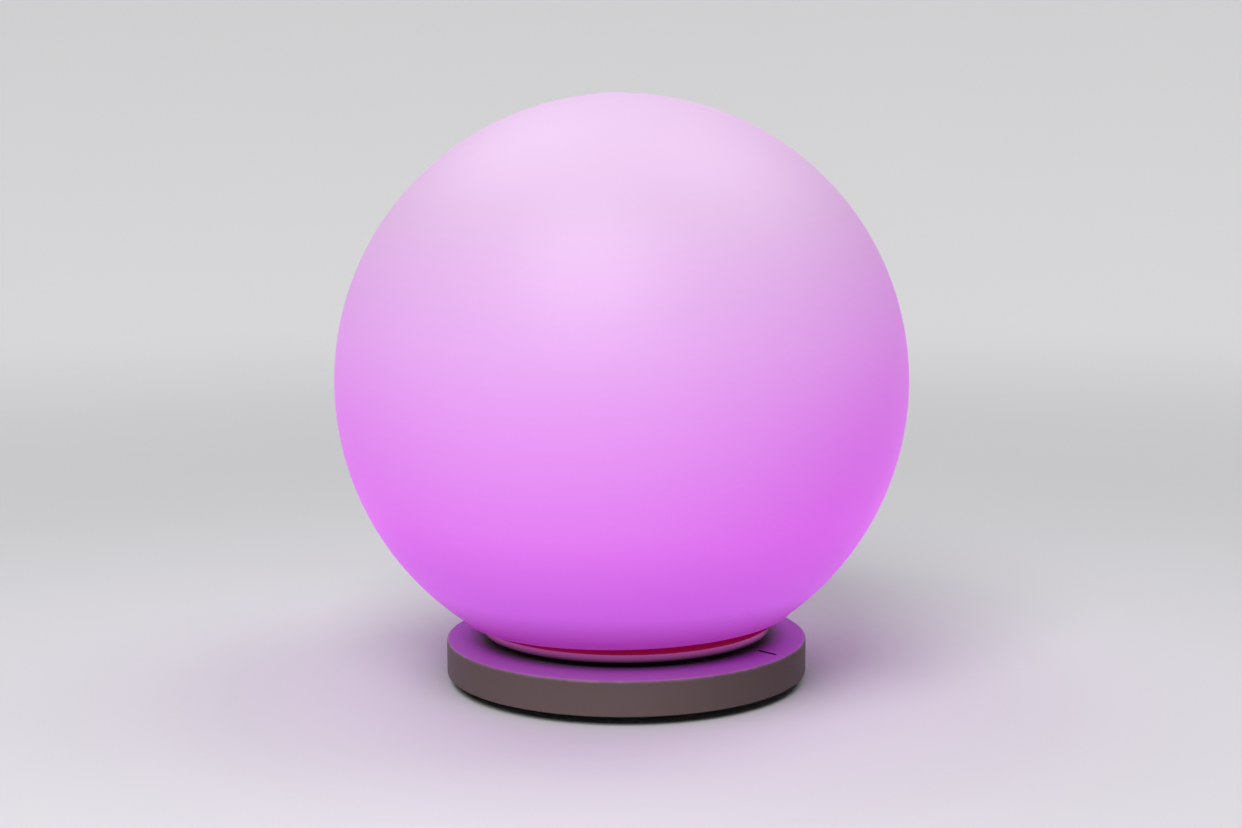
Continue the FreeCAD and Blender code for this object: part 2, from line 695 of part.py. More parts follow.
def make_battery_parts():
    """Two round cells side by side in a tray on legs, held down by a strap."""
    middle = "-Sizes.pack_offset"
    cells = new_piece("battery_cells", separate=True)
    for number, sign in enumerate(("-", "+"), start=1):
        along = f"{middle} {sign} Places.cell_spacing"
        lying_cylinder(cells, f"Can{number}", "Sizes.cell_radius", "-Sizes.cell_length / 2",
                       "Sizes.cell_length - Sizes.cell_cap_height", "", along, "Places.cell_axis",
                       Vector(1, 0, 0))
        lying_cylinder(cells, f"Cap{number}", "Sizes.cell_cap_radius",
                       "Sizes.cell_length / 2 - Sizes.cell_cap_height - Sizes.merge",
                       "Sizes.cell_cap_height + Sizes.merge", "", along, "Places.cell_axis", Vector(1, 0, 0))

    holder = new_piece("battery_holder")
    front = f"{middle} - Places.strap_outside"
    back = f"{middle} + Places.strap_outside"
    block(holder, "Plate", ("-Places.holder_half", front, "Places.cup_top"),
          ("Places.holder_half", back, "Places.holder_top"))
    wall_top = "Places.holder_top + Sizes.holder_end_height"
    block(holder, "LeftEnd", ("-Places.holder_half", front, "Places.cup_top"),
          ("-Places.holder_half + Sizes.holder_end", back, wall_top))
    block(holder, "RightEnd", ("Places.holder_half - Sizes.holder_end", front, "Places.cup_top"),
          ("Places.holder_half", back, wall_top))
    leg_across = "(Places.holder_half - Sizes.leg_inset)"
    leg_along = "(Places.strap_outside - Sizes.leg_inset)"
    for number, (right, rear) in enumerate((("", "-"), ("", "+"), ("-", "-"), ("-", "+")), start=1):
        cylinder(holder, f"Leg{number}", "Sizes.leg_radius", "Places.floor_top",
                 "Places.cup_top + Sizes.merge", right + leg_across, f"{middle} {rear} {leg_along}")

    strap = new_piece("battery_strap")
    block(strap, "Bridge", ("-Sizes.strap_width / 2", front, "Places.holder_top"),
          ("Sizes.strap_width / 2", back, "Places.strap_top"))
    block(strap, "Inside",
          ("-Sizes.strap_width", f"{middle} - Places.strap_inside", "Places.holder_top - Sizes.overcut"),
          ("Sizes.strap_width", f"{middle} + Places.strap_inside", "Places.cell_top"), cut=True)


def make_control_parts():
    """Board on four standoffs over the button, with its switch below and its components on top."""
    board = new_piece("control_board")
    half = "Sizes.control_width / 2"
    block(board, "Board", (f"-{half}", "Places.control_front", "Places.control_bottom"),
          (half, "Places.control_back", "Places.control_top"))
    fasteners = new_piece("board_screws", separate=True)
    for number, (across, along) in enumerate(standoff_spots(), start=1):
        cylinder(board, f"Hole{number}", "Sizes.small_screw_radius + Sizes.hole_clearance",
                 "Places.control_bottom", "Places.control_top", across, along, cut=True)
        cylinder(fasteners, f"Shank{number}", "Sizes.small_screw_radius",
                 "Places.control_top - Sizes.small_screw_length", "Places.control_top", across, along)
        cylinder(fasteners, f"Head{number}", "Sizes.small_head_radius", "Places.control_top",
                 "Places.control_top + Sizes.small_head_height", across, along)
    place_chips("control_chips", "Places.control_top", "+", CONTROL_CHIPS, "Places.control_middle")

    switch = new_piece("power_switch")
    side = "Sizes.switch_width / 2"
    block(switch, "Case", (f"-{side}", f"Places.button_circle - {side}",
                           "Places.control_bottom - Sizes.switch_height"),
          (side, f"Places.button_circle + {side}", "Places.control_bottom"))
    cylinder(switch, "Plunger", "Sizes.plunger_radius", "Places.plunger_bottom",
             "Places.plunger_bottom + Sizes.plunger_height + Sizes.merge", *BUTTON_PLACE)


def make_power_button():
    """Round push button in the housing's floor: its flange rests on the floor, its stem meets the switch."""
    body = new_piece("power_button")
    cylinder(body, "Cap", "Sizes.button_radius", "Places.lamp_bottom + Sizes.button_sink",
             "Places.floor_top", *BUTTON_PLACE)
    cylinder(body, "Flange", "Sizes.button_radius + Sizes.button_flange_reach", "Places.floor_top",
             "Places.button_flange_top", *BUTTON_PLACE)
    cylinder(body, "Stem", "Sizes.button_stem_radius", "Places.floor_top",
             "Places.plunger_bottom - Sizes.button_travel", *BUTTON_PLACE)
    return body


def make_button_bellows():
    """Thin folded sleeve between the button's flange and the board, which pushes the button back."""
    body = new_piece("button_bellows")
    inner = "Sizes.bellows_inner_radius"
    outer = "Sizes.bellows_inner_radius + Sizes.bellows_reach"
    steps = 2 * int(value("Sizes.bellows_folds"))
    rise = "(Places.control_bottom - Places.button_flange_top)"
    wave = [(outer if step % 2 else inner, f"Places.button_flange_top + {rise} * {step} / {steps}")
            for step in range(steps + 1)]
    skin = [(f"{radius} + Sizes.bellows_wall", height) for radius, height in reversed(wave)]
    turn(body, "Folds", wave + skin)
    place(body, *BUTTON_PLACE)
    return body


def make_light_engine():
    """Aluminium plate on the drum, the round LED board on it, and the opal dome over both."""
    across, along = polar("Places.stud_circle", STUD_ANGLE)
    small_circle = "Places.led_board_radius - Sizes.led_screw_inset"
    small_across, small_along = polar(small_circle, STUD_ANGLE)
    hole = "Sizes.screw_radius + Sizes.hole_clearance"

    spreader = new_piece("heat_spreader")
    cylinder(spreader, "Plate", "Places.drum_radius - Sizes.spreader_margin", "Places.drum_top",
             "Places.spreader_top")
    big = cylinder(spreader, "Hole", hole, "Places.drum_top", "Places.spreader_top", across, along, cut=True)
    tapped = cylinder(spreader, "Tapped", SMALL_SCREW_HOLE, "Places.drum_top", "Places.spreader_top",
                      small_across, small_along, cut=True)
    repeat_round(spreader, "Holes", [big, tapped], "3")
    cut_lead_holes(spreader, "Places.drum_top", "Places.spreader_top")

    board = new_piece("led_board")
    cylinder(board, "Board", "Places.led_board_radius", "Places.spreader_top", "Places.led_board_top")
    through = cylinder(board, "Hole", "Sizes.small_screw_radius + Sizes.hole_clearance",
                       "Places.spreader_top", "Places.led_board_top", small_across, small_along, cut=True)
    repeat_round(board, "Holes", [through], "3")
    cut_lead_holes(board, "Places.spreader_top", "Places.led_board_top")
    screws("led_board_screws", "Places.led_board_top", small_circle, STUD_ANGLE, "3", small=True)

    chips = new_piece("led_chips", separate=True)
    circle = "Places.led_board_radius - Sizes.led_inset"
    half = "Sizes.led_width / 2"
    top = "Places.led_board_top + Sizes.led_height"
    block(chips, "MiddleLed", (f"-{half}", f"-{half}", "Places.led_board_top"), (half, half, top))
    led = block(chips, "Led", (f"{circle} - {half}", f"-{half}", "Places.led_board_top"),
                (f"{circle} + {half}", half, top))
    repeat_round(chips, "LedRing", [led], "Sizes.led_count")

    dome = new_piece("led_dome")
    cylinder(dome, "Flange", "Places.drum_radius - Sizes.spreader_margin", "Places.spreader_top",
             "Places.dome_base")
    sphere(dome, "Outside", "Places.dome_radius", "0", "Places.dome_base")
    sphere(dome, "Inside", "Places.dome_radius - Sizes.dome_wall", "0", "Places.dome_base", cut=True)
    cylinder(dome, "Well", "Places.dome_radius - Sizes.dome_wall", "Places.spreader_top",
             "Places.dome_base", cut=True)
    flange_hole = cylinder(dome, "Hole", hole, "Places.spreader_top", "Places.dome_base", across, along,
                           cut=True)
    repeat_round(dome, "Holes", [flange_hole], "3")
    screws("dome_screws", "Places.dome_base", "Places.stud_circle", STUD_ANGLE, "3")


def led_lead_spots():
    """Where the two leads of the LED board stand."""
    return [(f"{CONNECTOR[0]} {sign} Sizes.led_lead_spread", "Places.led_lead_along") for sign in "-+"]


def cut_lead_holes(body, low, high):
    for number, (across, along) in enumerate(led_lead_spots(), start=1):
        cylinder(body, f"LeadHole{number}", "Sizes.wire_radius + Sizes.hole_clearance", low, high,
                 across, along, cut=True)


def sphere(body, name, radius, lowest_angle, up, across="0", along="0", cut=False):
    """A ball, cut flat below the latitude lowest_angle."""
    kind = "PartDesign::SubtractiveSphere" if cut else "PartDesign::AdditiveSphere"
    feature = body.newObject(kind, name)
    feature.setExpression("Radius", radius)
    feature.setExpression("Angle1", lowest_angle)
    place(feature, across, along, up)
    doc.recompute()
    return feature


# ---------------------------------------------------------------------------------------------
# Leads
# ---------------------------------------------------------------------------------------------

def lead(body, name, corners):
    """One wire through corners, given as triples of expressions; each run follows one axis."""
    for number, (start, end) in enumerate(zip(corners, corners[1:]), start=1):
        axis = next(axis for axis in range(3) if start[axis] != end[axis])
        low, high = sorted((start, end), key=lambda corner: value(corner[axis]))
        run = body.newObject("PartDesign::AdditiveCylinder", f"{name}Run{number}")
        direction = Vector(*[float(axis == letter) for letter in range(3)])
        run.Placement = Placement(Vector(), Rotation(Vector(0, 0, 1), direction))
        run.setExpression("Radius", "Sizes.wire_radius")
        run.setExpression("Height", f"({high[axis]}) - ({low[axis]})")
        place(run, *low)
        doc.recompute()
        if number > 1:
            sphere(body, f"{name}Bend{number}", "Sizes.wire_radius", "-90", start[2], start[0], start[1])


def make_leads():
    """Pairs of leads: supply socket to transmitter, receiver coil and cells to control board, and on up."""
    inlet = new_piece("inlet_leads", separate=True)
    coil = new_piece("coil_leads", separate=True)
    battery = new_piece("battery_leads", separate=True)
    led = new_piece("led_leads", separate=True)
    sender_along = "Sizes.coil_outer_radius - Sizes.inlet_lead_inset"
    coil_height = "Places.floor_top + Sizes.wire_radius"
    coil_rim = "sqrt(Sizes.coil_outer_radius ^ 2 - (Sizes.coil_lead_spread - Sizes.wire_radius) ^ 2)"
    coil_along = "Places.control_front + Sizes.coil_lead_inset"
    cell_end = "(Places.holder_half - Sizes.holder_end / 2)"
    cell_along = "Places.strap_outside - Sizes.pack_offset + Sizes.wire_radius"
    board_height = "(Places.control_bottom + Places.control_top) / 2"
    for name, sign in (("Left", "-"), ("Right", "")):
        across = sign + "Sizes.inlet_lead_spread"
        lead(inlet, name, [
            (across, "Places.inlet_face - Sizes.inlet_depth", "Places.inlet_lead_height"),
            (across, sender_along, "Places.inlet_lead_height"),
            (across, sender_along, "Places.sender_board_bottom")])
        across = sign + "Sizes.coil_lead_spread"
        lead(coil, name, [
            (across, coil_rim, coil_height),
            (across, coil_along, coil_height),
            (across, coil_along, "Places.control_bottom")])
        across = sign + "Sizes.battery_lead_spread"
        lead(battery, name, [
            (sign + cell_end, cell_along, board_height),
            (across, cell_along, board_height),
            (across, "Places.control_front", board_height)])
    for name, (across, along) in zip(("Left", "Right"), led_lead_spots()):
        cylinder(led, name, "Sizes.wire_radius", f"Places.control_top + {CONNECTOR[4]}",
                 "Places.led_board_top + Sizes.wire_radius", across, along)


# ---------------------------------------------------------------------------------------------
# Globe and seal
# ---------------------------------------------------------------------------------------------

def lean_over(thing, share="1"):
    """Set the globe's crooked seat on a placement: its shift, its height and a share of its lean."""
    thing.Placement = Placement(Vector(), Rotation(Vector(0, -1, 0), value("Sizes.globe_lean")))
    thing.setExpression("Placement.Rotation.Angle", f"Sizes.globe_lean * {share}")
    place(thing, "Sizes.neck_shift", "0", "Places.seat_level")


def make_globe_shell():
    """Moulded globe: a thin ball with an inward floor, a neck with bayonet lugs, and a pip on its pole.

    It is built upright from the plane of its cut edge and then leant over as a whole."""
    body = new_piece("globe_shell")
    outside = "-asin(Places.globe_drop / Sizes.globe_radius)"
    inside = "-asin((Places.globe_drop - Sizes.neck_floor) / Places.inner_radius)"
    sphere(body, "Outside", "Sizes.globe_radius", outside, "Places.globe_drop")
    pole = "Places.globe_drop + Sizes.globe_radius"
    sphere(body, "Pip", "Sizes.pip_curve", "-90", f"{pole} + Sizes.pip_height - Sizes.pip_curve",
           across="-Sizes.pip_shift")
    sphere(body, "Inside", "Places.inner_radius", inside, "Places.globe_drop", cut=True)
    turn(body, "Neck", [
        ("Places.neck_bore", "0"),
        ("Places.neck_radius", "0"),
        ("Places.neck_radius", "Sizes.neck_height"),
        ("Places.neck_bore", "Sizes.neck_height")])
    cylinder(body, "Mouth", "Places.neck_bore", "-Sizes.overcut", "Sizes.neck_height", cut=True)
    lug = turn(body, "Lug", [
        ("Places.drum_radius + Sizes.neck_clearance", "Sizes.neck_floor"),
        ("Places.neck_bore + Sizes.merge", "Sizes.neck_floor"),
        ("Places.neck_bore + Sizes.merge", "Sizes.neck_floor + Sizes.lug_height"),
        ("Places.drum_radius + Sizes.neck_clearance", "Sizes.neck_floor + Sizes.lug_height")],
        angle="Sizes.lug_angle")
    repeat_round(body, "Lugs", [lug], "Sizes.lug_count")
    lean_over(body)
    return body


def seal_section(body, name, radius, up, lean_share):
    """One circular section of the seal, leant by a share of the globe's lean."""
    sketch = body.newObject("Sketcher::SketchObject", name)
    sketch.AttachmentSupport = [(origin_feature(body, "XY_Plane"), "")]
    sketch.MapMode = "FlatFace"
    sketch.AttachmentOffset = Placement(Vector(), Rotation(Vector(0, -1, 0), value("Sizes.globe_lean")))
    sketch.setExpression("AttachmentOffset.Base.x", f"Sizes.neck_shift * {lean_share}")
    sketch.setExpression("AttachmentOffset.Base.z", up)
    sketch.setExpression("AttachmentOffset.Rotation.Angle", f"Sizes.globe_lean * {lean_share}")
    sketch.addGeometry(Part.Circle(Vector(), Vector(0, 0, 1), value(radius)), False)
    sketch.addConstraint(Sketcher.Constraint("Coincident", 0, 3, -1, 1))
    number = sketch.addConstraint(Sketcher.Constraint("Radius", 0, value(radius)))
    sketch.setExpression(f"Constraints[{number}]", radius)
    return sketch


def make_shell_seal():
    """Soft ring lofted from the housing's level lip to the globe's leaning cut edge."""
    body = new_piece("shell_seal")
    low_radius = "Places.lip_radius - Sizes.seal_inset"
    high_radius = "Places.rim_radius - Sizes.seal_inset"
    low = seal_section(body, "OnLip", low_radius, "Places.lip_top", "0")
    middle = seal_section(body, "Middle", f"({low_radius} + {high_radius}) / 2 + Sizes.seal_bulge",
                          "Places.lip_top + Sizes.seal_height / 2", "0.5")
    high = seal_section(body, "OnGlobe", high_radius, "Places.seat_level", "1")
    loft = body.newObject("PartDesign::AdditiveLoft", "Ring")
    loft.Profile = low
    loft.Sections = [middle, high]
    doc.recompute()
    cylinder(body, "Opening", "Places.neck_bore + Sizes.neck_shift",
             "Places.lip_top - Sizes.overcut", "Places.seat_level + Sizes.seal_height", cut=True)
    return body


# ---------------------------------------------------------------------------------------------
# Build, check and write
# ---------------------------------------------------------------------------------------------

make_base_top_cover()
make_base_bottom_cover()
make_base_ballast()
make_base_feet()
screws("base_screws", "Places.head_seat", "Places.post_circle", POST_ANGLE, "4", upward=True)
make_dc_inlet()
make_charging_pad()
make_transmitter_parts()
make_lamp_housing()
make_receiver_parts()
make_battery_parts()
make_control_parts()
make_power_button()
make_button_bellows()
make_light_engine()
make_leads()
make_globe_shell()
make_shell_seal()
doc.recompute()

for thing in doc.Objects:
    if "Invalid" in thing.State or "Error" in thing.State:
        raise RuntimeError(f"{thing.Label} did not build: {thing.State}")
pieces = [thing for thing in doc.Objects if thing.TypeId == "PartDesign::Body"]
for piece in pieces:
    if piece.Shape.isNull() or not piece.Shape.isValid():
        raise RuntimeError(f"{piece.Label} has no valid shape")

os.makedirs("parts", exist_ok=True)
for piece in pieces:
    piece.Shape.exportStep(os.path.join("parts", piece.Label + ".step"))
    print(f"{piece.Label}: {len(piece.Shape.Solids)} solids, {piece.Shape.Volume / 1000:.2f} cm3")
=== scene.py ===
import math

import bpy
import numpy as np
from mathutils import Matrix, Vector


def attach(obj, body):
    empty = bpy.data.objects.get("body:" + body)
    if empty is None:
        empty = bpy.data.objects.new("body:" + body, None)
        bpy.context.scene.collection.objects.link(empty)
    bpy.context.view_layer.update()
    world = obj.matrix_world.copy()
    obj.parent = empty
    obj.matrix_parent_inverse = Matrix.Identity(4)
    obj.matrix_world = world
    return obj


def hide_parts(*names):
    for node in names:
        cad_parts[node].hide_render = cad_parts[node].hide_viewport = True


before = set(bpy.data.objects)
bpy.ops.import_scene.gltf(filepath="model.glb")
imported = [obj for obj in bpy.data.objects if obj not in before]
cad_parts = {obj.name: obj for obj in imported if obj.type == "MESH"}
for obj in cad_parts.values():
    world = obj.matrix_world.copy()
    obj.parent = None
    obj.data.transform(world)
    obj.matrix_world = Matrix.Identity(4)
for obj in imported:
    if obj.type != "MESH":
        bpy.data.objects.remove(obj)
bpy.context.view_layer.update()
scene = bpy.context.scene

# ---------------------------------------------------------------------------------------------
# Camera: a 50 mm lens three quarters of a metre in front of the light, at the height of the upper
# half of the globe, pitched down to take in the disc.
# ---------------------------------------------------------------------------------------------

camera_pitch = math.radians(-6.84)
camera_roll = math.radians(-0.31)
camera_data = bpy.data.cameras.new("camera")
camera_data.sensor_width = 36.0
camera_data.lens = 50.1
camera_data.clip_start = 0.01
camera = bpy.data.objects.new("camera", camera_data)
camera.location = (-0.0018, -0.758, 0.209)
camera.rotation_euler = (Matrix.Rotation(math.pi / 2 + camera_pitch, 3, "X")
                         @ Matrix.Rotation(camera_roll, 3, "Z")).to_euler()
scene.collection.objects.link(camera)
scene.camera = camera
scene.view_settings.view_transform = "Standard"

# ---------------------------------------------------------------------------------------------
# Studio: a round pale floor that curves up into a wall on all sides, large soft lamps above and
# in front, and an even sky over the open top.
# ---------------------------------------------------------------------------------------------


def link_quads(rows, columns):
    """Quads between neighbouring rings of a grid whose last column joins its first."""
    numbers = np.arange(rows * columns).reshape(rows, columns)
    after = np.roll(numbers, -1, axis=1)
    return np.stack([numbers[:-1], numbers[1:], after[1:], after[:-1]], axis=-1).reshape(-1, 4)


def turned_mesh(name, rings, start_point, end_point=None, added_points=(), added_faces=()):
    """Mesh of rings of points, with a fan from start_point to the first ring and, where end_point
    is given, from the last ring to it. Rings run counterclockwise, and faces point to the right of
    the way from ring to ring. Added faces number their own points from 0."""
    rows, columns = rings.shape[:2]
    first, last = np.arange(columns), (rows - 1) * columns + np.arange(columns)
    points = [rings.reshape(-1, 3), [start_point]]
    fans = [[rows * columns, a, b] for a, b in zip(first, np.roll(first, -1))]
    if end_point is not None:
        points.append([end_point])
        fans += [[rows * columns + 1, b, a] for a, b in zip(last, np.roll(last, -1))]
    faces = link_quads(rows, columns).tolist() + np.array(fans).tolist()
    if len(added_points):
        faces += (np.array(added_faces) + sum(len(part) for part in points)).tolist()
        points.append(added_points)
    mesh = bpy.data.meshes.new(name)
    mesh.from_pydata(np.concatenate(points).tolist(), [], faces)
    mesh.shade_smooth()
    return mesh


def turn_profile(radius, height, columns):
    """Rings of the profile (radius, height) turned about the Z axis: each point's radius times the
    cosine and sine of evenly spaced angles, at its height."""
    angle = np.arange(columns) * 2 * math.pi / columns
    return np.stack([np.outer(radius, np.cos(angle)), np.outer(radius, np.sin(angle)),
                     np.repeat(height[:, None], columns, axis=1)], axis=-1)


floor_radius = 1.7
floor_rings = 17
bend_radius = 1.0
bend_rings = 32
wall_height = 2.6
bowl_columns = 96
bend = np.linspace(0, math.pi / 2, bend_rings + 1)[1:]
bowl_radius = np.concatenate([np.linspace(0.1, floor_radius, floor_rings),
                              floor_radius + bend_radius * np.sin(bend),
                              [floor_radius + bend_radius]])
bowl_height = np.concatenate([np.zeros(floor_rings), bend_radius * (1 - np.cos(bend)),
                              [wall_height]])
bowl = bpy.data.objects.new("studio_bowl", turned_mesh(
    "studio_bowl", turn_profile(bowl_radius, bowl_height, bowl_columns), (0, 0, 0)))
scene.collection.objects.link(bowl)


def new_shader(name):
    """A material, its node tree and its Principled shader."""
    material = bpy.data.materials.new(name)
    material.use_nodes = True
    tree = material.node_tree
    tree.nodes.clear()
    output = tree.nodes.new("ShaderNodeOutputMaterial")
    shader = tree.nodes.new("ShaderNodeBsdfPrincipled")
    tree.links.new(shader.outputs["BSDF"], output.inputs["Surface"])
    return material, tree, shader


def add(tree, kind, plain=None, linked=None, **settings):
    """New shader node of a kind, with its settings, its plain inputs and its linked inputs."""
    node = tree.nodes.new("ShaderNode" + kind)
    for name, value in settings.items():
        setattr(node, name, value)
    for name, value in (plain or {}).items():
        node.inputs[name].default_value = value
    for name, source in (linked or {}).items():
        tree.links.new(source, node.inputs[name])
    return node


def object_place(tree):
    """Object coordinates."""
    return add(tree, "TexCoord").outputs["Object"]


def work_out(tree, operation, *values, **settings):
    """Result of a Math node on numbers and sockets."""
    node = add(tree, "Math", operation=operation, **settings)
    for socket, value in zip(node.inputs, values):
        if isinstance(value, (int, float)):
            socket.default_value = value
        else:
            tree.links.new(value, socket)
    return node.outputs[0]


def smooth_step(tree, plain, linked):
    """Result of a Map Range node that eases in and out."""
    return add(tree, "MapRange", plain, linked, interpolation_type="SMOOTHSTEP").outputs["Result"]


# To the camera and in reflections the bowl is pale, and it is lifted far from the spot that the
# lamps light best, where it would look grey. To all other light it is dark grey, so that it throws
# little back up at the globe light's underside.
far_lift = 0.36
lift_start, lift_end = 0.65, 2.3
lit_spot = (0.0, -0.3, 0.0)
dark_grey = (0.15, 0.15, 0.15, 1)
pale_low, pale_high = (0.67, 0.67, 0.68, 1), (0.69, 0.69, 0.70, 1)
pale_paint, tree, shader = new_shader("pale_paint")
place = object_place(tree)
cloud = add(tree, "TexNoise", {"Scale": 3.0, "Detail": 2.0}, {"Vector": place})
tint = add(tree, "MixRGB", {"Color1": pale_low, "Color2": pale_high}, {"Fac": cloud.outputs["Fac"]})
reach = add(tree, "VectorMath", {1: lit_spot}, {0: place}, operation="DISTANCE")
far = smooth_step(tree, {"From Min": lift_start, "From Max": lift_end, "To Max": far_lift},
                  {"Value": reach.outputs["Value"]})
path = add(tree, "LightPath")
direct = work_out(tree, "ADD", path.outputs["Is Camera Ray"], path.outputs["Is Glossy Ray"])
seen = work_out(tree, "ADD", direct, path.outputs["Is Transmission Ray"], use_clamp=True)
paint = add(tree, "MixRGB", {"Color1": dark_grey}, {"Fac": seen, "Color2": tint.outputs["Color"]})
tree.links.new(paint.outputs["Color"], shader.inputs["Base Color"])
tree.links.new(work_out(tree, "MULTIPLY", far, seen), shader.inputs["Emission Color"])
shader.inputs["Emission Strength"].default_value = 1.0
shader.inputs["Roughness"].default_value = 0.8
shader.inputs["Specular IOR Level"].default_value = 0.1
bowl.data.materials.append(pale_paint)


def soft_lamp(name, place, power, aim=(0.0, 0.0, 0.13), width=1.0):
    """Square soft lamp at place, turned to aim, unseen by the camera."""
    lamp = bpy.data.lights.new(name, "AREA")
    lamp.shape = "SQUARE"
    lamp.size = width
    lamp.energy = power
    holder = bpy.data.objects.new(name, lamp)
    holder.location = place
    holder.rotation_euler = (Vector(aim) - Vector(place)).to_track_quat("-Z", "Y").to_euler()
    holder.visible_camera = False
    scene.collection.objects.link(holder)


soft_lamp("key_lamp", (-0.32, -1.15, 1.35), power=23.0)
soft_lamp("right_lamp", (0.85, 0.25, 1.65), power=7.0)
soft_lamp("back_lamp", (-0.70, 0.65, 1.60), power=4.5)

sky = bpy.data.worlds.new("even_sky")
sky.use_nodes = True
sky.node_tree.nodes["Background"].inputs["Color"].default_value = (0.96, 0.97, 1.0, 1)
sky.node_tree.nodes["Background"].inputs["Strength"].default_value = 0.52
scene.world = sky

# ---------------------------------------------------------------------------------------------
# Disc: the base's top shell, an injection moulding in warm grey plastic with a fine spark-eroded
# grain. Its upper rim is a painted highlight: a little paler and smoother. The globe's glow is
# painted on its top. A short line is cut in its top and filled black.
# ---------------------------------------------------------------------------------------------


def new_group(name, takes, gives):
    """Shader node group with named inputs and outputs, and its entry and exit nodes."""
    group = bpy.data.node_groups.new(name, "ShaderNodeTree")
    kinds = {"colour": "NodeSocketColor", "value": "NodeSocketFloat"}
    for way, sockets in (("INPUT", takes), ("OUTPUT", gives)):
        for socket, kind in sockets.items():
            group.interface.new_socket(socket, in_out=way, socket_type=kinds[kind])
    return group, group.nodes.new("NodeGroupInput"), group.nodes.new("NodeGroupOutput")


# Moulded grain: noise at two scales. The larger drift changes tint and roughness by a few percent,
# and the fine one, at the grain's own scale, is the height of the surface.
cloud_scale = 22.0
roughness_swing = 0.16
grain_group, entry, leave = new_group(
    "moulded_grain",
    {"Colour": "colour", "Drift": "value", "Grain Scale": "value", "Roughness": "value"},
    {"Colour": "colour", "Roughness": "value", "Height": "value"})
place = object_place(grain_group)
cloud = add(grain_group, "TexNoise", {"Scale": cloud_scale, "Detail": 3.0, "Roughness": 0.55},
            {"Vector": place})
grain = add(grain_group, "TexNoise", {"Detail": 2.0, "Roughness": 0.6},
            {"Vector": place, "Scale": entry.outputs["Grain Scale"]})
swing = work_out(grain_group, "SUBTRACT", cloud.outputs["Fac"], 0.5)
gain = work_out(grain_group, "MULTIPLY_ADD", swing, entry.outputs["Drift"], 1.0)
tint = add(grain_group, "VectorMath", None, {0: entry.outputs["Colour"], "Scale": gain},
           operation="SCALE")
rough = work_out(grain_group, "MULTIPLY_ADD", swing, roughness_swing, entry.outputs["Roughness"])
grain_group.links.new(tint.outputs[0], leave.inputs["Colour"])
grain_group.links.new(rough, leave.inputs["Roughness"])
grain_group.links.new(grain.outputs["Fac"], leave.inputs["Height"])


def from_axis(tree, x, y):
    """Distance of a point (x, y) from the origin of its plane."""
    flat = add(tree, "CombineXYZ", None, {"X": x, "Y": y})
    return add(tree, "VectorMath", None, {0: flat.outputs[0]}, operation="LENGTH").outputs["Value"]


# Painted edge highlight: a mask that is 1 on a circle of the given radius and height round the Z
# axis, falls off over the width, and is broken up by noise. It lightens an edge's colour.
patch_scale = 130.0
patch_low, patch_high = 0.35, 0.65
edge_highlight_group, entry, leave = new_group(
    "painted_edge_highlight", {"Radius": "value", "Height": "value", "Width": "value"}, {"Mask": "value"})
place = object_place(edge_highlight_group)
split = add(edge_highlight_group, "SeparateXYZ", None, {"Vector": place})
reach = from_axis(edge_highlight_group, split.outputs["X"], split.outputs["Y"])
away = from_axis(edge_highlight_group, work_out(edge_highlight_group, "SUBTRACT", reach, entry.outputs["Radius"]),
                 work_out(edge_highlight_group, "SUBTRACT", split.outputs["Z"], entry.outputs["Height"]))
near = smooth_step(edge_highlight_group, {"To Min": 1.0, "To Max": 0.0},
                   {"Value": away, "From Max": entry.outputs["Width"]})
patches = add(edge_highlight_group, "TexNoise", {"Scale": patch_scale, "Detail": 4.0, "Roughness": 0.7},
              {"Vector": place})
broken = add(edge_highlight_group, "MapRange", {"From Min": patch_low, "From Max": patch_high},
             {"Value": patches.outputs["Fac"]})
mask = work_out(edge_highlight_group, "MULTIPLY", near, broken.outputs["Result"])
edge_highlight_group.links.new(mask, leave.inputs["Mask"])

# Light from the globe: a mask that rises from 0 to 1 between two heights and between two radii. It
# says where the globe's own glow falls on the pieces next to it. Stretch shortens radii along Y.
glow_group, entry, leave = new_group(
    "globe_glow",
    {"Low": "value", "High": "value", "Inner": "value", "Outer": "value", "Stretch": "value"},
    {"Mask": "value"})
split = add(glow_group, "SeparateXYZ", None, {"Vector": object_place(glow_group)})
along = work_out(glow_group, "MULTIPLY", split.outputs["Y"], entry.outputs["Stretch"])
above = smooth_step(glow_group, None,
                    {"Value": split.outputs["Z"], "From Min": entry.outputs["Low"],
                     "From Max": entry.outputs["High"]})
beyond = smooth_step(glow_group, None,
                     {"Value": from_axis(glow_group, split.outputs["X"], along),
                      "From Min": entry.outputs["Inner"], "From Max": entry.outputs["Outer"]})
glow_group.links.new(work_out(glow_group, "MULTIPLY", above, beyond), leave.inputs["Mask"])


def shader_of(material):
    """The Principled shader of a material."""
    return next(node for node in material.node_tree.nodes if node.type == "BSDF_PRINCIPLED")


def light_from_globe(material, colour, heights, radii, stretch=1.0):
    """Add the globe's glow to a material between two heights and between two radii."""
    tree, shader = material.node_tree, shader_of(material)
    fall = add(tree, "Group", {"Low": heights[0], "High": heights[1], "Inner": radii[0],
                               "Outer": radii[1], "Stretch": stretch}, node_tree=glow_group)
    glow = add(tree, "VectorMath", {0: colour}, {"Scale": fall.outputs["Mask"]}, operation="SCALE")
    tree.links.new(glow.outputs[0], shader.inputs["Emission Color"])
    shader.inputs["Emission Strength"].default_value = 1.0
    return material


# Roughness taken off along the painted edge highlight.
highlight_edge_smoothness = 0.12


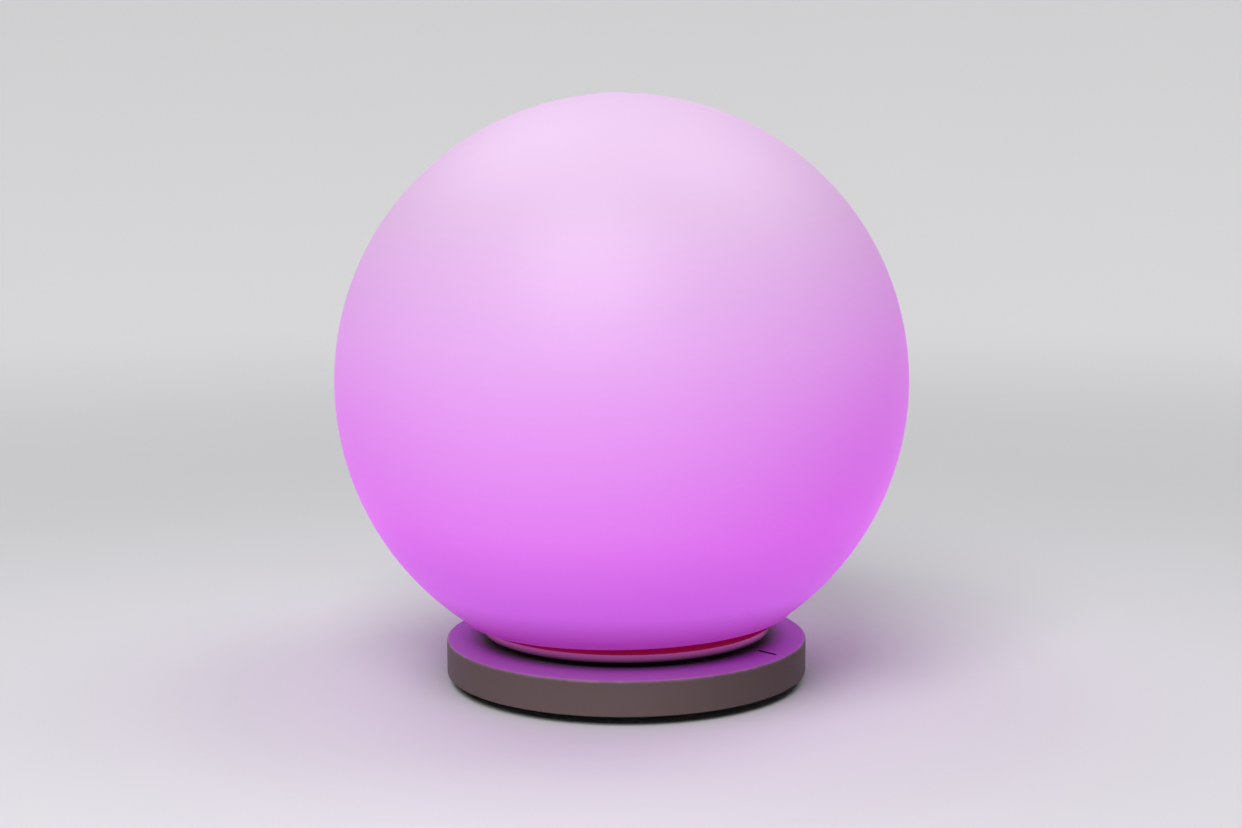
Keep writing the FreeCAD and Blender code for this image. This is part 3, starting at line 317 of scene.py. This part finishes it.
def moulded(name, colour, roughness=0.5, drift=0.12, grain_scale=2600.0, depth=0.00003, rim=None,
            highlight_gain=1.5, specular=0.5):
    """Moulded plastic, rubber or resin. rim is the (radius, height, width) of a painted highlight
    along an edge, where the colour is made lighter by the given gain and the surface is smoother."""
    material, tree, shader = new_shader(name)
    skin = add(tree, "Group", {"Colour": (*colour, 1), "Drift": drift, "Grain Scale": grain_scale,
                               "Roughness": roughness}, node_tree=grain_group)
    tint, rough = skin.outputs["Colour"], skin.outputs["Roughness"]
    if rim:
        edge = add(tree, "Group", dict(zip(("Radius", "Height", "Width"), rim)),
                   node_tree=edge_highlight_group)
        paler = (*[min(channel * highlight_gain, 1.0) for channel in colour], 1)
        tint = add(tree, "MixRGB", {"Color2": paler},
                   {"Fac": edge.outputs["Mask"], "Color1": tint}).outputs["Color"]
        rough = work_out(tree, "MULTIPLY_ADD", edge.outputs["Mask"], -highlight_edge_smoothness, rough)
    bump = add(tree, "Bump", {"Strength": 1.0, "Distance": depth},
               {"Height": skin.outputs["Height"]})
    tree.links.new(tint, shader.inputs["Base Color"])
    tree.links.new(rough, shader.inputs["Roughness"])
    tree.links.new(bump.outputs["Normal"], shader.inputs["Normal"])
    shader.inputs["Specular IOR Level"].default_value = specular
    return material


def dress(material, *nodes):
    """Give CAD nodes their material."""
    for name in nodes:
        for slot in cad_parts[name].material_slots:
            slot.material = material


# The rim band is a painted highlight along the disc's upper edge.
disc_plastic = moulded("disc_plastic", (0.188, 0.133, 0.131), roughness=0.52,
                       rim=(0.0798, 0.019, 0.0016), highlight_gain=1.35, specular=0.2)
light_from_globe(disc_plastic, (0.19, 0.008, 0.28), heights=(0.01885, 0.0191),
                 radii=(0.0615, 0.0750), stretch=1.08)

# The short line's black fill runs a little past the groove's edges.
mark_middle = (0.06019, -0.03574, 0.0)
mark_turn = math.radians(-47.0)
mark_half_length, mark_half_width = 0.0050, 0.00085
mark_edge = 0.0002
black_ink = (0.012, 0.008, 0.012, 1)
tree, shader = disc_plastic.node_tree, shader_of(disc_plastic)
local = add(tree, "Mapping", {"Location": mark_middle, "Rotation": (0, 0, mark_turn)},
            {"Vector": object_place(tree)}, vector_type="TEXTURE")
split = add(tree, "SeparateXYZ", None, {"Vector": local.outputs["Vector"]})
sides = [add(tree, "MapRange",
             {"From Min": half, "From Max": half + mark_edge, "To Min": 1.0, "To Max": 0.0},
             {"Value": work_out(tree, "ABSOLUTE", split.outputs[axis])}).outputs["Result"]
         for axis, half in (("X", mark_half_length), ("Y", mark_half_width))]
mark = work_out(tree, "MULTIPLY", *sides)
for socket, ink in (("Base Color", black_ink), ("Emission Color", (0, 0, 0, 1))):
    inked = add(tree, "MixRGB", {"Color2": ink},
                {"Fac": mark, "Color1": shader.inputs[socket].links[0].from_socket})
    tree.links.new(inked.outputs["Color"], shader.inputs[socket])
dress(disc_plastic, "base_top_cover")

# ---------------------------------------------------------------------------------------------
# Underside of the disc: black bottom cover with its screws, rubber feet pressed into it, the supply
# socket in the rear wall, and a zinc-plated steel ring against tipping.
# ---------------------------------------------------------------------------------------------

dress(moulded("cover_plastic", (0.035, 0.035, 0.038), drift=0.3, grain_scale=1800.0),
      "base_bottom_cover")
dress(moulded("foot_rubber", (0.022, 0.022, 0.022), roughness=0.78, drift=0.35,
              grain_scale=1400.0), "base_feet")
dress(moulded("socket_plastic", (0.020, 0.020, 0.022), roughness=0.32, drift=0.2), "dc_inlet")


def worked_metal(name, colour, roughness, stretch, mark_scale=60.0, mark_shade=0.78,
                 mark_roughness=0.1):
    """Metal with fine marks from its making: noise stretched along the way it was worked."""
    material, tree, shader = new_shader(name)
    along = add(tree, "Mapping", {"Scale": stretch}, {"Vector": object_place(tree)})
    marks = add(tree, "TexNoise", {"Scale": mark_scale, "Detail": 3.0},
                {"Vector": along.outputs["Vector"]}).outputs["Fac"]
    deeper = (*[channel * mark_shade for channel in colour], 1)
    tint = add(tree, "MixRGB", {"Color1": deeper, "Color2": (*colour, 1)}, {"Fac": marks})
    rough = add(tree, "MapRange", {"To Min": roughness - mark_roughness,
                                   "To Max": roughness + mark_roughness}, {"Value": marks})
    bump = add(tree, "Bump", {"Strength": 0.6, "Distance": 0.00001}, {"Height": marks})
    tree.links.new(tint.outputs["Color"], shader.inputs["Base Color"])
    tree.links.new(rough.outputs["Result"], shader.inputs["Roughness"])
    tree.links.new(bump.outputs["Normal"], shader.inputs["Normal"])
    shader.inputs["Metallic"].default_value = 1.0
    return material


dress(worked_metal("screw_zinc", (0.62, 0.62, 0.64), 0.32, (8, 8, 40)),
      "base_screws", "board_screws", "led_board_screws", "dome_screws")
dress(worked_metal("ballast_zinc", (0.52, 0.54, 0.57), 0.42, (30, 2, 2)), "base_ballast")

# ---------------------------------------------------------------------------------------------
# Charging pad: black matt moulding on the disc's middle. Under it a flat winding of enamelled
# copper on a ferrite sheet and a round board; the lamp's floor carries the same coil and ferrite.
# ---------------------------------------------------------------------------------------------

# The pad's upper edge carries a painted highlight: a paler, smoother band.
dress(moulded("pad_plastic", (0.030, 0.030, 0.033), roughness=0.62, drift=0.25,
              grain_scale=2000.0, rim=(0.0298, 0.0222, 0.0014), highlight_gain=2.2), "charging_pad")
dress(moulded("sintered_ferrite", (0.085, 0.085, 0.090), roughness=0.62, drift=0.5,
              grain_scale=900.0, depth=0.00005), "transmitter_ferrite", "receiver_ferrite")

# Blender's ring wave repeats every 2 pi / (20 x scale), which is set to the wire's pitch.
wire_pitch = 0.0008
wave_scale = 2 * math.pi / (20 * wire_pitch)
enamel_dark, enamel_light = (0.15, 0.045, 0.018, 1), (0.62, 0.26, 0.12, 1)
copper, tree, shader = new_shader("wound_copper")
turns = add(tree, "TexWave", {"Scale": wave_scale, "Distortion": 0.0},
            {"Vector": object_place(tree)}, wave_type="RINGS", rings_direction="Z").outputs["Fac"]
tint = add(tree, "MixRGB", {"Color1": enamel_dark, "Color2": enamel_light}, {"Fac": turns})
bump = add(tree, "Bump", {"Strength": 1.0, "Distance": 0.0002}, {"Height": turns})
tree.links.new(tint.outputs["Color"], shader.inputs["Base Color"])
tree.links.new(bump.outputs["Normal"], shader.inputs["Normal"])
shader.inputs["Metallic"].default_value = 0.8
shader.inputs["Roughness"].default_value = 0.34
dress(copper, "transmitter_coil", "receiver_coil")


def printed_board(name, resist, tracks, track_scale=260.0, tint_scale=90.0, tint_shade=0.82):
    """Board under solder resist: raised tracks in a running bond of long bricks show through."""
    material, tree, shader = new_shader(name)
    place = object_place(tree)
    black, white = (0, 0, 0, 1), (1, 1, 1, 1)
    lines = add(tree, "TexBrick",
                {"Scale": track_scale, "Mortar Size": 0.06, "Mortar Smooth": 0.3,
                 "Brick Width": 1.9, "Row Height": 0.4, "Color1": black, "Color2": black,
                 "Mortar": white}, {"Vector": place}).outputs["Fac"]
    cloud = add(tree, "TexNoise", {"Scale": tint_scale, "Detail": 2.0}, {"Vector": place})
    deeper = (*[channel * tint_shade for channel in resist], 1)
    tint = add(tree, "MixRGB", {"Color1": deeper, "Color2": (*resist, 1)},
               {"Fac": cloud.outputs["Fac"]})
    laid = add(tree, "MixRGB", {"Color2": (*tracks, 1)},
               {"Fac": lines, "Color1": tint.outputs["Color"]})
    bump = add(tree, "Bump", {"Strength": 0.6, "Distance": 0.00004}, {"Height": lines})
    tree.links.new(laid.outputs["Color"], shader.inputs["Base Color"])
    tree.links.new(bump.outputs["Normal"], shader.inputs["Normal"])
    shader.inputs["Roughness"].default_value = 0.28
    return material


dress(printed_board("green_board", (0.012, 0.12, 0.05), (0.05, 0.24, 0.09)),
      "transmitter_board", "control_board")
dress(moulded("chip_resin", (0.026, 0.026, 0.028), roughness=0.42, drift=0.25),
      "transmitter_chips", "control_chips", "power_switch")

# ---------------------------------------------------------------------------------------------
# Lamp housing: a round tray of the disc's grey plastic, coloured darker than the disc as painted
# shade, for its rounded lip shows below the globe under its overhang. The lip's upper edge carries
# a painted highlight, and the globe's glow is painted on the lip. Its push button is soft black
# rubber with a clear silicone sleeve behind it.
# ---------------------------------------------------------------------------------------------

# Darker copy of the disc's plastic: painted shade for the lip under the globe.
housing_plastic = moulded("housing_plastic", (0.10, 0.07, 0.08), roughness=0.46,
                          rim=(0.0645, 0.0250, 0.0016), highlight_gain=1.3)
light_from_globe(housing_plastic, (0.28, 0.035, 0.22), heights=(0.0224, 0.0262),
                 radii=(0.067, 0.082), stretch=2.0)
dress(housing_plastic, "lamp_housing")
dress(moulded("button_rubber", (0.045, 0.045, 0.048), roughness=0.66, drift=0.3,
              grain_scale=1500.0), "power_button")
dress(moulded("clear_silicone", (0.58, 0.58, 0.56), roughness=0.4, drift=0.06), "button_bellows")

# ---------------------------------------------------------------------------------------------
# Inside the drum: two round cells in blue shrink sleeve, in a black holder with a strap, and the
# light engine, an aluminium plate with a white board, its LEDs and an opal dome; leads join them.
# ---------------------------------------------------------------------------------------------

dress(moulded("shrink_sleeve", (0.020, 0.075, 0.27), roughness=0.26, grain_scale=700.0),
      "battery_cells")
dress(moulded("holder_plastic", (0.040, 0.040, 0.043), roughness=0.48, drift=0.25),
      "battery_holder", "battery_strap")
dress(worked_metal("rolled_aluminium", (0.74, 0.75, 0.76), 0.36, (2, 40, 2)), "heat_spreader")
dress(printed_board("white_board", (0.72, 0.72, 0.70), (0.80, 0.80, 0.77)), "led_board")
dress(moulded("led_resin", (0.74, 0.60, 0.26), roughness=0.22, drift=0.15), "led_chips")
dress(moulded("opal_plastic", (0.78, 0.75, 0.79), roughness=0.38, drift=0.04), "led_dome")
dress(moulded("lead_sleeve", (0.42, 0.016, 0.012), roughness=0.36, drift=0.15),
      "inlet_leads", "coil_leads", "battery_leads", "led_leads")

# ---------------------------------------------------------------------------------------------
# Seal: a ring of crimson silicone, squeezed between the housing's lip and the globe's cut edge.
# It shows as a thin band, widest on the right, because the globe leans to the left.
# ---------------------------------------------------------------------------------------------

red_silicone = moulded("red_silicone", (0.30, 0.001, 0.040), drift=0.2, grain_scale=1200.0,
                       specular=0.15)
light_from_globe(red_silicone, (0.11, 0.0, 0.012), heights=(0.0245, 0.026), radii=(0.055, 0.060))
dress(red_silicone, "shell_seal")

# ---------------------------------------------------------------------------------------------
# Globe: one rotationally moulded shell, frosted outside, with a low soft pip near its pole, a
# rounded cut edge, and a floor and a neck with bayonet lugs inside the opening. LEDs below light it
# magenta: palest at the top, deeper towards the neck. It sits a little crooked on its seal.
# ---------------------------------------------------------------------------------------------

globe_radius = 0.125
globe_wall = 0.0026
rim_radius = 0.07112
rim_round = 0.0016
rim_inset = 0.55 * rim_round
neck_bore = 0.05482
neck_wall = 0.003
neck_height = 0.014
neck_floor = 0.003
lug_count = 3
lug_half_angle = math.radians(12)
lug_inner_radius = 0.05122
lug_root = 0.0004
lug_top = 0.006
lug_sections = 9
pip_height = 0.0006
pip_width = math.radians(4.1)
pip_lean = math.radians(0.9)
globe_lean = math.radians(1.3)
globe_seat = (0.0009, 0.0, 0.02985)
globe_columns = 180
outer_rings, corner_rings, inner_rings = 110, 7, 60
globe_drop = math.sqrt(globe_radius ** 2 - rim_radius ** 2)


def globe_profile():
    """Outline from pole to pole, as radius and height over the cut edge's plane: the outer arc, a
    quarter round at the cut edge, the floor, up the neck's bore and down its back, and the inner
    arc. Also the number of points that lie outside."""
    outer_end = math.acos(-(globe_drop - rim_round) / globe_radius)
    outer = np.linspace(0, outer_end, outer_rings + 1)[1:]
    outer_radius = globe_radius * np.sin(outer)
    outer_height = globe_drop + globe_radius * np.cos(outer)
    corner = np.linspace(0, math.pi / 2, corner_rings + 1)[1:]
    corner_middle = rim_radius - rim_inset
    corner_radius = corner_middle + (outer_radius[-1] - corner_middle) * np.cos(corner)
    corner_height = outer_height[-1] * (1 - np.sin(corner))
    inner_radius = globe_radius - globe_wall
    inner_start = math.acos(-(globe_drop - neck_floor) / inner_radius)
    inner = np.linspace(inner_start, 0, inner_rings + 1)[:-1]
    neck_radius = [neck_bore, neck_bore, neck_bore + neck_wall, neck_bore + neck_wall]
    neck_levels = [0.0, neck_height, neck_height, neck_floor]
    radius = np.concatenate([outer_radius, corner_radius, neck_radius,
                             inner_radius * np.sin(inner)])
    height = np.concatenate([outer_height, corner_height, neck_levels,
                             globe_drop + inner_radius * np.cos(inner)])
    return radius, height, outer_rings + corner_rings


def bayonet_lugs():
    """Points and faces of the lugs in the neck: a rectangle of radius and height carried round
    short arcs about the Z axis, with both ends closed. Its outer side lies in the neck's wall."""
    root_radius = neck_bore + lug_root
    radius = np.array([lug_inner_radius, root_radius, root_radius, lug_inner_radius])
    height = np.array([neck_floor, neck_floor, lug_top, lug_top])
    arc = np.linspace(-lug_half_angle, lug_half_angle, lug_sections)
    angle = (np.arange(lug_count)[:, None] * 2 * math.pi / lug_count + arc)[..., None]
    points = np.stack([radius * np.cos(angle), radius * np.sin(angle), height + 0 * angle],
                      axis=-1)
    first_end = np.arange(4)
    last_end = (lug_sections - 1) * 4 + first_end[::-1]
    one_lug = np.concatenate([link_quads(lug_sections, 4), [first_end], [last_end]])
    faces = np.concatenate([one_lug + number * lug_sections * 4 for number in range(lug_count)])
    return points.reshape(-1, 3), faces


def raise_pip(points):
    """Move points of the outer arc out by a bell curve of their angle from the pip's middle."""
    middle = np.array([0.0, 0.0, globe_drop])
    ray = points - middle
    length = np.linalg.norm(ray, axis=-1, keepdims=True)
    pip = np.array([-math.sin(pip_lean), 0.0, math.cos(pip_lean)])
    angle = np.arccos(np.clip((ray / length) @ pip, -1, 1))[..., None]
    return middle + ray * (1 + pip_height / length * np.exp(-(angle / pip_width) ** 2))


def lean_over(points):
    """Tilt points about the cut edge's middle towards -X, and set them on the seal."""
    cosine, sine = math.cos(globe_lean), math.sin(globe_lean)
    tilt = np.array([[cosine, 0, -sine], [0, 1, 0], [sine, 0, cosine]])
    return points @ tilt.T + np.array(globe_seat)


radius, height, outside_rings = globe_profile()
rings = turn_profile(radius, height, globe_columns)
rings[:outside_rings] = raise_pip(rings[:outside_rings])
outer_pole = raise_pip(np.array([[0.0, 0.0, globe_drop + globe_radius]]))
inner_pole = np.array([[0.0, 0.0, globe_drop + globe_radius - globe_wall]])
lug_points, lug_faces = bayonet_lugs()
globe_mesh = turned_mesh("frosted_shell", lean_over(rings), lean_over(outer_pole)[0],
                         lean_over(inner_pole)[0], lean_over(lug_points), lug_faces)
face_ring = np.concatenate([np.repeat(np.arange(len(radius) - 1), globe_columns),
                            np.zeros(globe_columns),
                            np.full(globe_columns + len(lug_faces), len(radius))])
inside = face_ring >= outside_rings - 1
globe_mesh.polygons.foreach_set("material_index", inside.astype(np.int32))
globe = bpy.data.objects.new("frosted_shell", globe_mesh)
scene.collection.objects.link(globe)
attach(globe, "lamp")
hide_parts("globe_shell")


def ramp(tree, source, stops):
    """Colour ramp through (position, colour) stops."""
    node = add(tree, "ValToRGB", None, {"Fac": source})
    elements = node.color_ramp.elements
    while len(elements) < len(stops):
        elements.new(0.5)
    for element, (position, colour) in zip(elements, stops):
        element.position = position
        element.color = (*colour, 1)
    return node.outputs["Color"]


# Both ramps run up the globe, from 0 at the cut edge to 1 at the pole. The surface ramp paints
# light and shade into the shell's base colour: darker and more magenta towards the cut edge. The
# glow ramp is the shell's own light from the LEDs.
painted_shading_stops = [(0.0, (0.40, 0.20, 0.42)), (0.25, (0.46, 0.40, 0.47)),
                 (0.55, (0.52, 0.51, 0.53)), (1.0, (0.49, 0.475, 0.49))]
glow_stops = [(0.0, (0.22, 0.0, 0.22)), (0.075, (0.49, 0.06, 0.645)),
              (0.22, (0.59, 0.05, 0.71)), (0.42, (0.49, 0.02, 0.585)),
              (0.62, (0.35, 0.0, 0.41)), (0.78, (0.25, 0.0, 0.275)),
              (1.0, (0.24, 0.01, 0.265))]
cut_edge_level, pole_level = 0.030, 0.258
frosted, tree, shader = new_shader("frosted_glow")
split = add(tree, "SeparateXYZ", None, {"Vector": object_place(tree)})
level = add(tree, "MapRange", {"From Min": cut_edge_level, "From Max": pole_level},
            {"Value": split.outputs["Z"]}).outputs["Result"]
skin = add(tree, "Group", {"Drift": 0.03, "Grain Scale": 1500.0, "Roughness": 0.5},
           node_tree=grain_group)
bump = add(tree, "Bump", {"Strength": 1.0, "Distance": 0.00002}, {"Height": skin.outputs["Height"]})
tree.links.new(ramp(tree, level, painted_shading_stops), skin.inputs["Colour"])
tree.links.new(skin.outputs["Colour"], shader.inputs["Base Color"])
tree.links.new(skin.outputs["Roughness"], shader.inputs["Roughness"])
tree.links.new(bump.outputs["Normal"], shader.inputs["Normal"])
tree.links.new(ramp(tree, level, glow_stops), shader.inputs["Emission Color"])
shader.inputs["Emission Strength"].default_value = 1.0
globe_mesh.materials.append(frosted)
globe_mesh.materials.append(moulded("shell_inside", (0.66, 0.60, 0.68), roughness=0.55,
                                    drift=0.05))
